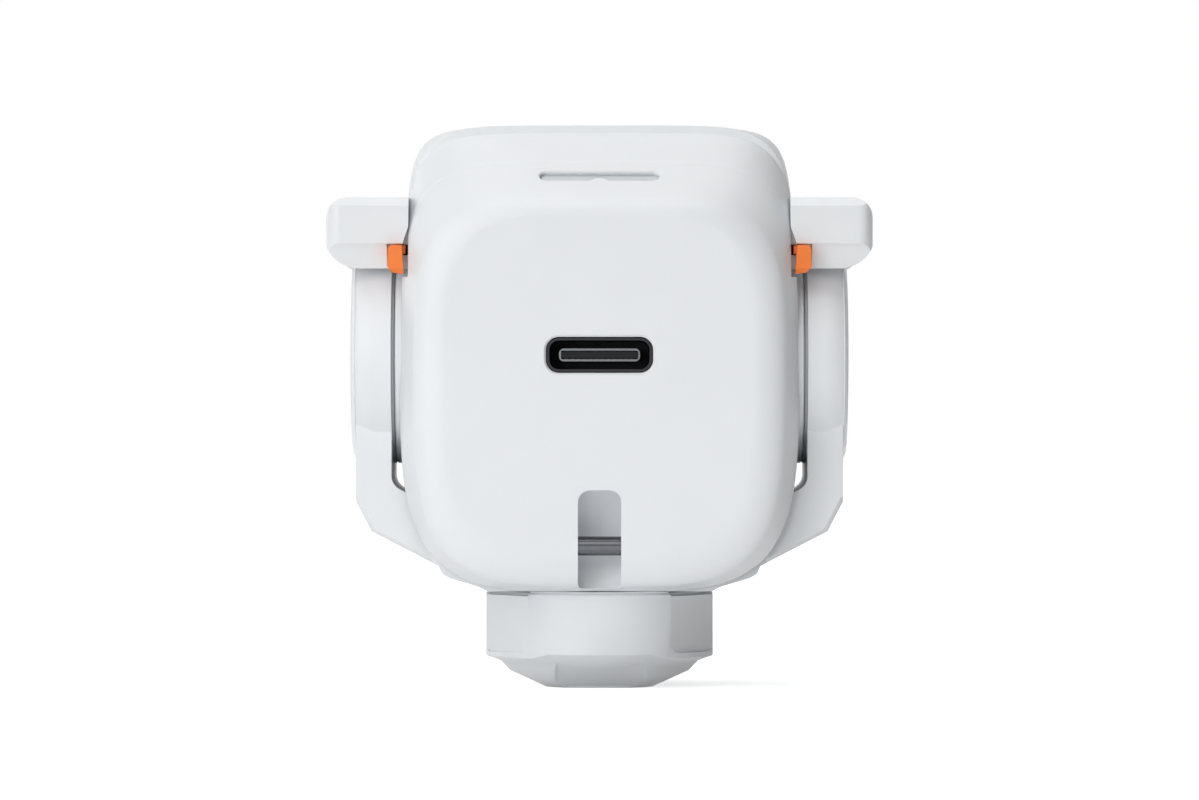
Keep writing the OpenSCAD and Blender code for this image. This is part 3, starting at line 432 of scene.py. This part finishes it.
def pocket_cutter():
    """The pocket round the lanyard pin, with a round floor."""
    x = LANYARD_W / 2
    outline = rounded_box(-x, x, POCKET_LOW, POCKET_TOP, POCKET_LOW_R, POCKET_TOP_R)
    pocket = prism(outline, upright, FACE_Y - 1, FACE_Y + POCKET_DEPTH)
    centre_y = FACE_Y + SCOOP_DEPTH - SCOOP_R
    centre_z = (POCKET_LOW + POCKET_TOP) / 2
    scoop = prism(circle(centre_y, centre_z, SCOOP_R, 120), sideways, -LANYARD_W, LANYARD_W)
    modifier = pocket.modifiers.new("scoop", "BOOLEAN")
    modifier.operation = "INTERSECT"
    modifier.solver = "EXACT"
    modifier.object = scoop
    apply_modifiers(pocket)
    bpy.data.objects.remove(scoop)
    return pocket


def light_cutter():
    """The light slot, with a chamfer at the slope's surface and a deep straight part."""
    sections = []
    chamfer = LIGHT_CHAMFER
    for w, grow in ((OVER, OVER + chamfer), (0, chamfer), (-chamfer, 0), (-LIGHT_DEPTH, 0)):
        sections.append([on_slope(u, v, w) for u, v in light_outline(grow)])
    return new_object("light_cut", rings(sections))


# ---------------------------------------------------------------- the scene's own pieces


def finish_shell(obj, node, body="head"):
    """Shades a new shell, lets it stand in for its CAD node and gives it the white plastic."""
    shade(obj, 24)
    even_normals(obj)
    apply_modifiers(obj)
    obj.name = "shell_" + node
    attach(obj, body)
    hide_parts(node)
    obj.data.materials.clear()
    obj.data.materials.append(MATERIALS["white_plastic"])
    return obj


def make_rear_cover():
    """The shell with the USB face, solid round the lanyard pocket."""
    fine, coarse = 18, 6
    depths = [EDGE_LEN * (1 - cos(pi / 2 * k / fine)) for k in range(fine + 1)]
    depths += [EDGE_LEN + (SEAM_D - EDGE_LEN) * k / coarse for k in range(1, coarse + 1)]
    shell = new_object("rear", rings(seam_rings(depths, False, True)))
    inner = [WALL + EDGE_LEN * (1 - cos(pi / 2 * k / coarse)) for k in range(coarse)]
    inner = [d for d in inner if d < SEAM_D] + [SEAM_D + 1]
    hollow = new_object("hollow", rings([head_ring(d, WALL) for d in inner]))
    solid_top = POCKET_TOP + 1.1
    keep = new_object("keep", box_mesh((-FAR, FAR), (-FAR, FAR), (UNDER, solid_top)))
    cut(hollow, [keep])
    cut(shell, [hollow] + seat_cutters() + [usb_cutter(), light_cutter(), pocket_cutter()])
    return finish_shell(shell, "rear_cover")


def make_main_housing():
    """The open tube between the two covers, with the step in its top and the turned belly."""
    near_step = 0.4
    count = 12
    depths = [SEAM_D + (STEP_D - near_step - SEAM_D) * k / count for k in range(count + 1)]
    depths += [STEP_D - near_step / 2, STEP_D, STEP_D + STEP_RUN]
    start = HEAD_D - FRONT_R
    depths += [STEP_D + STEP_RUN + (start - STEP_D - STEP_RUN) * k / count for k in range(1, count + 1)]
    rounded = [HEAD_D - FRONT_R * (1 - sin(radians(angle))) for angle in range(5, 90, 5)]
    depths += [d for d in rounded if d < LID_D - 0.1]
    depths.append(LID_D)
    shell = new_object("main", rings(seam_rings(depths, True, True)))
    inner = [SEAM_D - 1] + [d for d in depths[2:-2:3] if d < LID_D - 0.8] + [LID_D + 1]
    hollow = new_object("hollow", rings([head_ring(d, WALL) for d in inner]))
    cut(hollow, [belly_cutter(WALL)])
    cut(shell, [hollow, belly_cutter(0)] + seat_cutters())
    return finish_shell(shell, "main_housing")


def make_front_cover():
    """The rounded cover on the far side from the USB face."""
    steps = 14
    angles = [pi / 2 * k / steps for k in range(steps + 1)]
    depths = [HEAD_D - FRONT_R * (1 - sin(a)) for a in angles]
    depths = [LID_D] + [d for d in depths if d > LID_D + 0.15]
    shell = new_object("lid", rings(seam_rings(depths, True, False)))
    cut(shell, [belly_cutter(0)])
    return finish_shell(shell, "front_cover")


DISC_R = 9.1            # pivot discs, almost flush with the arms' heads
DISC_EDGE = 0.12
PARTING = 0.035         # half height and depth of the thin line across a disc's rim


def make_pivot_disc(node):
    """A turned disc against the head's side, with a thin parting line on its front."""
    low, high = span(node, 0)
    profile = [(low, DISC_R - DISC_EDGE), (low + DISC_EDGE, DISC_R)]
    profile += [(high - DISC_EDGE, DISC_R), (high, DISC_R - DISC_EDGE)]
    disc = new_object("disc", turned(profile, 144))
    line_y = (-DISC_R - 1, -DISC_R + PARTING)
    line_z = (PIVOT_Z - PARTING, PIVOT_Z + PARTING)
    cut(disc, [new_object("line", box_mesh((low - 1, high + 1), line_y, line_z))])
    return finish_shell(disc, node)


SKIRT_R = 9.5           # tongue of the yoke's underside, between the knob and the chin
SKIRT_HALF_W = 5.8
SKIRT_BACK = 6.7        # its straight back lies this far in front of the swivel axis
SKIRT_GAP = 0.015


def make_skirt():
    """A thin tongue under the yoke that closes the gap over the knob in front."""
    reach = asin(SKIRT_HALF_W / SKIRT_R) * 180 / pi
    outline = arc(0, 0, SKIRT_R, 270 - reach, 270 + reach, 48)
    outline += [(SKIRT_HALF_W, -SKIRT_BACK), (-SKIRT_HALF_W, -SKIRT_BACK)]
    low = span("knob", 2)[1] + SKIRT_GAP
    high = CHIN_Z - SKIRT_GAP
    skirt = prism(outline, level, low, high, "yoke_skirt")
    shade(skirt, 30)
    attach(skirt, "yoke")
    skirt.data.materials.append(MATERIALS["white_plastic"])


# ---------------------------------------------------------------- material helpers


GRAIN_HEIGHT = 0.000004     # of the marks in plastic and metal, in metres
DRIFT_SCALE = 140           # waves per metre of a plastic's drift of colour
GLOSS_SCALE = 900           # and of its uneven gloss
GLOSS_SPREAD = 0.03


def material(name):
    """A new material, with its nodes, its links and its main shader."""
    made = bpy.data.materials.new(name)
    made.use_nodes = True
    nodes = made.node_tree.nodes
    shader = next(n for n in nodes if n.type == "BSDF_PRINCIPLED")
    return made, nodes, made.node_tree.links, shader


def noise(nodes, links, scale, detail=3, roughness=0.55, stretch=(1, 1, 1)):
    """A noise pattern in the object's own space, with scale waves per metre."""
    place = nodes.new("ShaderNodeTexCoord")
    mapping = nodes.new("ShaderNodeMapping")
    mapping.inputs["Scale"].default_value = stretch
    links.new(place.outputs["Object"], mapping.inputs["Vector"])
    pattern = nodes.new("ShaderNodeTexNoise")
    pattern.inputs["Scale"].default_value = scale
    pattern.inputs["Detail"].default_value = detail
    pattern.inputs["Roughness"].default_value = roughness
    links.new(mapping.outputs["Vector"], pattern.inputs["Vector"])
    return pattern.outputs["Fac"]


def ramp(nodes, links, factor, low, high, start=0.3, end=0.7):
    """Colours from low to high, where the pattern runs from start to end."""
    made = nodes.new("ShaderNodeValToRGB")
    made.color_ramp.elements[0].position = start
    made.color_ramp.elements[0].color = (*low, 1)
    made.color_ramp.elements[1].position = end
    made.color_ramp.elements[1].color = (*high, 1)
    links.new(factor, made.inputs["Fac"])
    return made.outputs["Color"]


def spread(nodes, links, factor, low, high):
    """Maps a 0-1 pattern to values between low and high."""
    made = nodes.new("ShaderNodeMapRange")
    made.inputs["From Min"].default_value = 0.3
    made.inputs["From Max"].default_value = 0.7
    made.inputs["To Min"].default_value = low
    made.inputs["To Max"].default_value = high
    links.new(factor, made.inputs["Value"])
    return made.outputs["Result"]


def bump(nodes, links, shader, height, strength, distance):
    """Relief on a shader from a pattern, distance metres high."""
    made = nodes.new("ShaderNodeBump")
    made.inputs["Strength"].default_value = strength
    made.inputs["Distance"].default_value = distance
    links.new(height, made.inputs["Height"])
    links.new(made.outputs["Normal"], shader.inputs["Normal"])


def tint(colour, factor):
    """A colour made lighter or darker by a factor."""
    return tuple(min(c * factor, 1) for c in colour)


def plastic(name, colour, roughness, grain=9000, depth=0.25, vary=0.02, specular=0.5):
    """Moulded plastic: a faint drift of colour, fine grain in the skin and slightly uneven gloss."""
    made, nodes, links, shader = material(name)
    drift = noise(nodes, links, DRIFT_SCALE, 2)
    hue = ramp(nodes, links, drift, tint(colour, 1 - vary), tint(colour, 1 + vary))
    links.new(hue, shader.inputs["Base Color"])
    gloss = noise(nodes, links, GLOSS_SCALE, 3)
    uneven = spread(nodes, links, gloss, roughness - GLOSS_SPREAD, roughness + GLOSS_SPREAD)
    links.new(uneven, shader.inputs["Roughness"])
    shader.inputs["Specular IOR Level"].default_value = specular
    bump(nodes, links, shader, noise(nodes, links, grain, 2), depth, GRAIN_HEIGHT)
    return made


def metal(name, colour, roughness, stretch=(1, 1, 1), grain=3000, depth=0.2):
    """Metal with drawn or turned marks, a little darker in their troughs."""
    made, nodes, links, shader = material(name)
    shader.inputs["Metallic"].default_value = 1
    marks = noise(nodes, links, grain, 4, 0.6, stretch)
    links.new(ramp(nodes, links, marks, tint(colour, 0.9), tint(colour, 1.05)), shader.inputs["Base Color"])
    links.new(spread(nodes, links, marks, roughness - 0.06, roughness + 0.08), shader.inputs["Roughness"])
    bump(nodes, links, shader, marks, depth, GRAIN_HEIGHT)
    return made


def bands(name, colour, dark, roughness, scale, axis):
    """Wound or layered stuff: even bands along an axis, with a fine noise in them."""
    made, nodes, links, shader = material(name)
    place = nodes.new("ShaderNodeTexCoord")
    wave = nodes.new("ShaderNodeTexWave")
    wave.bands_direction = axis
    wave.inputs["Scale"].default_value = scale
    wave.inputs["Distortion"].default_value = 0.4
    links.new(place.outputs["Object"], wave.inputs["Vector"])
    links.new(ramp(nodes, links, wave.outputs["Fac"], dark, colour, 0.1, 0.6), shader.inputs["Base Color"])
    links.new(spread(nodes, links, noise(nodes, links, 2000), roughness - 0.05, roughness + 0.05),
              shader.inputs["Roughness"])
    bump(nodes, links, shader, wave.outputs["Fac"], 0.5, 0.00004)
    return made


def solder_mask(name, colour):
    """A circuit board: green lacquer over faint copper tracks."""
    made, nodes, links, shader = material(name)
    place = nodes.new("ShaderNodeTexCoord")
    cells = nodes.new("ShaderNodeTexVoronoi")
    cells.distance = "MANHATTAN"
    cells.inputs["Scale"].default_value = 450
    links.new(place.outputs["Object"], cells.inputs["Vector"])
    tracks = ramp(nodes, links, cells.outputs["Distance"], tint(colour, 1.7), colour, 0.28, 0.34)
    links.new(tracks, shader.inputs["Base Color"])
    shader.inputs["Roughness"].default_value = 0.3
    bump(nodes, links, shader, cells.outputs["Distance"], 0.2, 0.00003)
    return made


WHITE = (0.78, 0.80, 0.82)
ORANGE = (0.86, 0.19, 0.018)

# Plastics: colour, roughness, waves of grain per metre, its depth, drift of colour, specular level.
# Metals: colour, roughness, how the marks are stretched along X, Y and Z, their waves and depth.
MATERIALS = {
    "white_plastic": plastic("white_plastic", WHITE, 0.42, 9000, 0.22, 0.008),
    "orange_plastic": plastic("orange_plastic", ORANGE, 0.38, 8000, 0.25, 0.03),
    "black_plastic": plastic("black_plastic", (0.028, 0.029, 0.03), 0.4, 7000, 0.3, 0.1),
    "light_guide": plastic("light_guide", (0.5, 0.53, 0.55), 0.3, 6000, 0.3, 0.02),
    "steel": metal("steel", (0.56, 0.57, 0.59), 0.32, (1, 1, 6)),
    "bronze": metal("bronze", (0.62, 0.42, 0.2), 0.4, (1, 1, 4)),
    "contacts": metal("contacts", (0.83, 0.64, 0.25), 0.25, (1, 6, 1)),
    "board": solder_mask("board", (0.02, 0.16, 0.08)),
    "ferrite": plastic("ferrite", (0.07, 0.07, 0.075), 0.6, 3000, 0.6, 0.15),
    "winding": bands("winding", (0.75, 0.52, 0.1), (0.42, 0.26, 0.04), 0.35, 900, "Z"),
    "can": metal("can", (0.6, 0.61, 0.64), 0.3, (6, 1, 1)),
    "chip": plastic("chip", (0.02, 0.02, 0.022), 0.5, 5000, 0.5, 0.2),
    "aluminium": metal("aluminium", (0.72, 0.73, 0.75), 0.35, (8, 1, 1)),
    "pad": plastic("pad", (0.33, 0.42, 0.52), 0.7, 2500, 0.6, 0.08),
    # near-black steel: the socket shell's own finish, and painted shade on the contacts
    "dark_steel_and_painted_shade": metal("dark_steel_and_painted_shade", (0.03, 0.03, 0.033), 0.4, (1, 1, 3)),
    "polished_steel": metal("polished_steel", (0.1, 0.104, 0.112), 0.14, (1, 8, 8), 2500, 0.03),
    "collar_steel": metal("collar_steel", (0.15, 0.155, 0.16), 0.35, (1, 1, 3)),
    "tongue": plastic("tongue", (0.012, 0.013, 0.014), 0.6, 7000, 0.3, 0.1, 0.15),
    # mid grey for the friction washers, painted shade of the gap between each arm and its pivot disc
    "grey_nylon_painted_gap_shade": plastic("grey_nylon_painted_gap_shade", (0.36, 0.37, 0.39), 0.5, 5000, 0.3, 0.04),
    "lamp": plastic("lamp", (0.9, 0.85, 0.55), 0.2, 4000, 0.2, 0.05),
}

# ---------------------------------------------------------------- finishes, edges and new shells

FINISHES = {            # nodes with a finish of their own within their slot
    # the socket's contacts take the near-black steel as painted shade, for the shadow inside the collar
    "usb_shell": "dark_steel_and_painted_shade", "usb_collar": "collar_steel", "usb_contacts": "dark_steel_and_painted_shade",
    "usb_tongue": "tongue", "lanyard_pin": "polished_steel",
    # the friction washers take a mid grey that paints the shade in the gap between arm and disc
    "friction_washer_left": "grey_nylon_painted_gap_shade", "friction_washer_right": "grey_nylon_painted_gap_shade",
}
for part in frame["record"]["subparts"]:
    node = NODES[part["node"]]
    finish = FINISHES.get(part["node"], part["material_slot"])
    node.data.materials.clear()
    node.data.materials.append(MATERIALS[finish])

BEVELS = {              # rounding of the edges of the nodes that show, in millimetres
    "knob": 0.1, "yoke": 0.14, "arm_cap_left": 0.06, "arm_cap_right": 0.06,
    "ear_left": 0.14, "ear_right": 0.14,
    "button_left": 0.12, "button_right": 0.12, "usb_shell": 0.04, "usb_tongue": 0.05,
    "foot_disc": 0.05,
}
for name, width in BEVELS.items():
    shade(NODES[name], 28)
    soften(NODES[name], width)
for name, node in NODES.items():
    if name not in BEVELS:
        shade(node, 30)

make_rear_cover()
make_main_housing()
make_front_cover()
make_pivot_disc("pivot_disc_left")
make_pivot_disc("pivot_disc_right")
make_skirt()

# ---------------------------------------------------------------- floor, lamps and world


def seen_rays(nodes, links):
    """1 for the rays that see the white background: camera, glossy and transmission rays."""
    path = nodes.new("ShaderNodeLightPath")
    total = path.outputs["Is Camera Ray"]
    for name in ("Is Glossy Ray", "Is Transmission Ray"):
        either = nodes.new("ShaderNodeMath")
        either.operation = "MAXIMUM"
        links.new(total, either.inputs[0])
        links.new(path.outputs[name], either.inputs[1])
        total = either.outputs[0]
    return total


FLOOR_HALF = 3000       # half the floor's side, in millimetres
FADE_START = 0.05       # the floor's glow grows over these distances from the part, in metres
FADE_END = 0.2
NEAR_GLOW = 0.72        # its strength near the part, so that the shadow shows


def make_floor():
    """A pale floor that looks white and keeps the part's shadow."""
    bm = bmesh.new()
    bmesh.ops.create_grid(bm, x_segments=1, y_segments=1, size=FLOOR_HALF)
    floor = new_object("floor", bm)
    made, nodes, links, shader = material("floor")
    shader.inputs["Base Color"].default_value = (0.95, 0.95, 0.95, 1)
    shader.inputs["Roughness"].default_value = 0.9
    shader.inputs["Specular IOR Level"].default_value = 0
    place = nodes.new("ShaderNodeTexCoord")
    far = nodes.new("ShaderNodeVectorMath")
    far.operation = "LENGTH"
    links.new(place.outputs["Object"], far.inputs[0])
    fade = nodes.new("ShaderNodeMapRange")
    fade.inputs["From Min"].default_value = FADE_START
    fade.inputs["From Max"].default_value = FADE_END
    fade.inputs["To Min"].default_value = NEAR_GLOW
    fade.inputs["To Max"].default_value = 1
    links.new(far.outputs["Value"], fade.inputs["Value"])
    glow = nodes.new("ShaderNodeEmission")
    links.new(fade.outputs["Result"], glow.inputs["Strength"])
    lit = nodes.new("ShaderNodeAddShader")
    links.new(shader.outputs["BSDF"], lit.inputs[0])
    links.new(glow.outputs["Emission"], lit.inputs[1])
    pick = nodes.new("ShaderNodeMixShader")
    links.new(seen_rays(nodes, links), pick.inputs["Fac"])
    links.new(shader.outputs["BSDF"], pick.inputs[1])
    links.new(lit.outputs["Shader"], pick.inputs[2])
    output = next(n for n in nodes if n.type == "OUTPUT_MATERIAL")
    links.new(pick.outputs["Shader"], output.inputs["Surface"])
    floor.data.materials.append(made)


def make_world(strength):
    """A faint even light, and white where the background is seen."""
    world = bpy.data.worlds.new("world")
    world.use_nodes = True
    nodes, links = world.node_tree.nodes, world.node_tree.links
    ambient = next(n for n in nodes if n.type == "BACKGROUND")
    ambient.inputs["Color"].default_value = (0.95, 0.98, 1, 1)
    ambient.inputs["Strength"].default_value = strength
    white = nodes.new("ShaderNodeBackground")
    white.inputs["Color"].default_value = (1, 1, 1, 1)
    white.inputs["Strength"].default_value = 1
    pick = nodes.new("ShaderNodeMixShader")
    links.new(seen_rays(nodes, links), pick.inputs["Fac"])
    links.new(ambient.outputs["Background"], pick.inputs[1])
    links.new(white.outputs["Background"], pick.inputs[2])
    output = next(n for n in nodes if n.type == "OUTPUT_WORLD")
    links.new(pick.outputs["Shader"], output.inputs["Surface"])
    SCENE.world = world


def lamp(name, place, aim, size, watts):
    """A square area lamp at a place, turned towards aim, all in metres."""
    data = bpy.data.lights.new(name, "AREA")
    data.size = size
    data.energy = watts
    obj = bpy.data.objects.new(name, data)
    obj.location = place
    obj.rotation_euler = (Vector(aim) - Vector(place)).to_track_quat("-Z", "Y").to_euler()
    obj.visible_camera = False
    SCENE.collection.objects.link(obj)


CENTRE = (0, 0, 0.027)
LAMPS = (
    # name, place, point that it is aimed at, size, watts
    ("left_front", (-0.6, -0.8, 0.25), CENTRE, 0.5, 2.9),
    ("front_left", (-0.25, -1, 0.08), CENTRE, 0.15, 0.8),
    ("left_front_high", (-0.45, -0.65, 0.75), CENTRE, 0.5, 1.6),
    ("front_high", (0, -0.8, 0.6), CENTRE, 0.5, 1.1),
    ("left_high", (-0.7, -0.3, 0.7), CENTRE, 0.4, 0.9),
    ("top", (0, 0, 1), CENTRE, 0.6, 4.1),
    ("left_back", (-0.75, 0.6, 0.2), CENTRE, 0.5, 1.2),
    ("floor_card", (0, -0.075, 0.0005), (0, -0.075, 1), 0.1, 0.012),
)
AMBIENT = 0.01
make_floor()
make_world(AMBIENT)
for name, place, aim, size, watts in LAMPS:
    lamp(name, place, aim, size, watts)

view_settings = SCENE.view_settings
view_settings.view_transform = "Standard"
